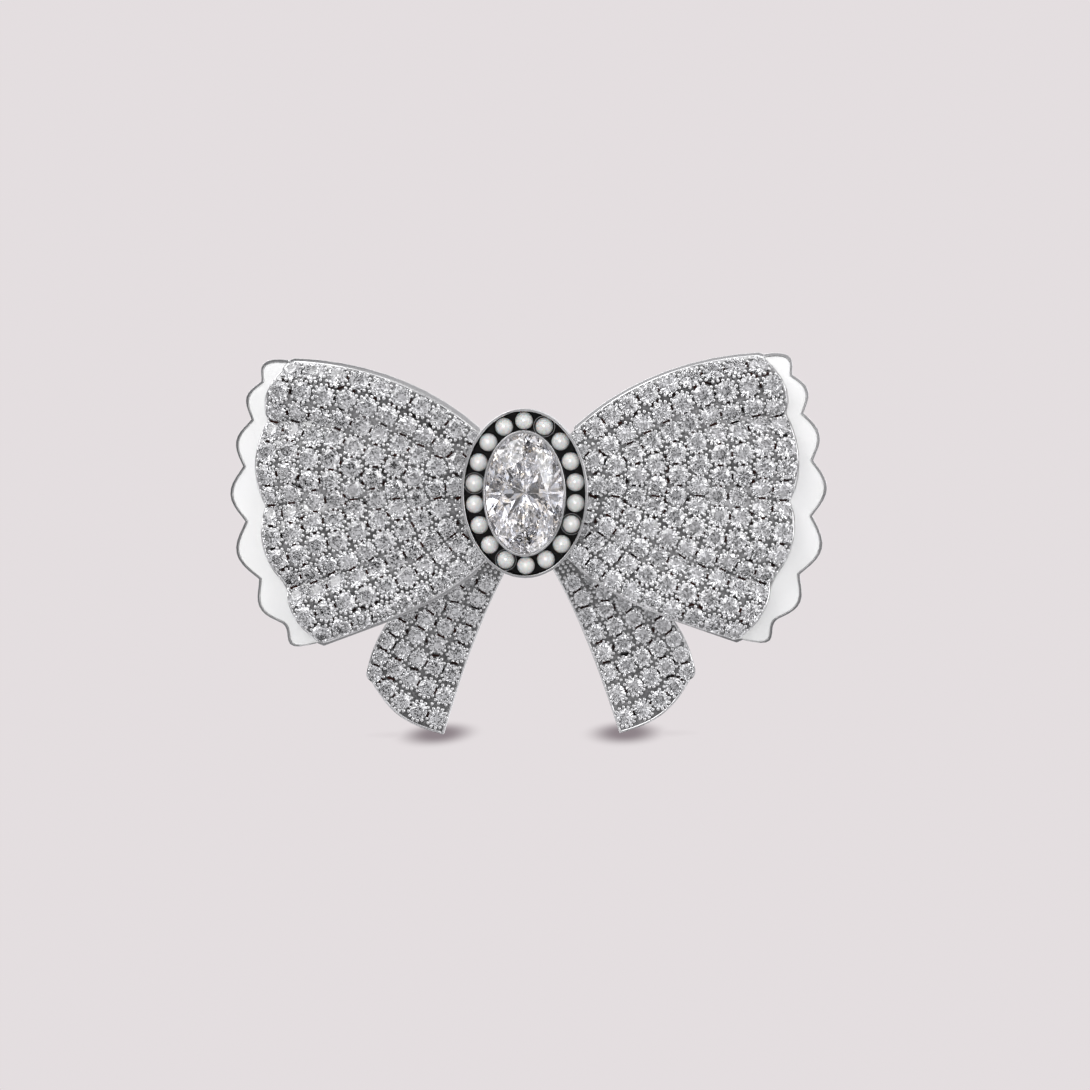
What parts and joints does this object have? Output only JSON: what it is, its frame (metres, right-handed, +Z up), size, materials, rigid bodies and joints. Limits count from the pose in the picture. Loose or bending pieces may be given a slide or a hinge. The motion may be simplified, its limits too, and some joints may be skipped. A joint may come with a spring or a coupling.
{
  "type": "bow brooch",
  "caption": "Bow-shaped brooch with stone-set pleated wings and tails, scalloped enamel borders, a pearl-ringed oval medallion, and a hinged pin with a rollover catch.",
  "frame": {"origin": "centre of the flat rear face of the back bridge, behind the middle of the medallion", "axes": "+X to the viewer's right, along the pin; +Z up; the front faces -Y and the rear face points to +Y"},
  "size_m": [0.0596, 0.0149, 0.0381],
  "materials": {
    "silver_plate": "polished rhodium-coloured plate",
    "pin_steel": "polished spring steel",
    "clear_stone": "clear, faceted",
    "white_enamel": "glossy white enamel",
    "black_enamel": "blackened, semi-gloss",
    "pearl": "pearl lustre"
  },
  "bodies": {
    "bow": {"right_wing_plate": "silver_plate", "left_wing_plate": "silver_plate", "right_wing_stones": "clear_stone", "left_wing_stones": "clear_stone", "right_enamel_tray": "silver_plate", "left_enamel_tray": "silver_plate", "right_enamel_fill": "white_enamel", "left_enamel_fill": "white_enamel", "right_tail_plate": "silver_plate", "left_tail_plate": "silver_plate", "right_tail_stones": "clear_stone", "left_tail_stones": "clear_stone", "medallion_cup": "silver_plate", "channel_floor": "black_enamel", "pearl_pegs": "silver_plate", "centre_bezel": "silver_plate", "centre_stone": "clear_stone", "back_bridge": "silver_plate", "bridge_rivets": "silver_plate", "hinge_bracket": "silver_plate", "hinge_rivet": "silver_plate", "catch_body": "silver_plate", "pearl_01": "pearl", "pearl_02": "pearl", "pearl_03": "pearl", "pearl_04": "pearl", "pearl_05": "pearl", "pearl_06": "pearl", "pearl_07": "pearl", "pearl_08": "pearl", "pearl_09": "pearl", "pearl_10": "pearl", "pearl_11": "pearl", "pearl_12": "pearl", "pearl_13": "pearl", "pearl_14": "pearl", "pearl_15": "pearl", "pearl_16": "pearl", "pearl_17": "pearl", "pearl_18": "pearl"},
    "pin": {"pin_stem": "pin_steel"},
    "rotor": {"catch_rotor": "silver_plate"}
  },
  "joints": [
    {"name": "pin_swing", "type": "hinge", "parent": "bow", "child": "pin", "pos_m": [-0.0145, 0.003, 0.004], "axis": [0, 0, 1], "range_deg": [0, 80]},
    {"name": "rotor_turn", "type": "hinge", "parent": "bow", "child": "rotor", "pos_m": [0.0132, 0.003, 0.004], "axis": [-1, 0, 0], "range_deg": [0, 110]}
  ]
}
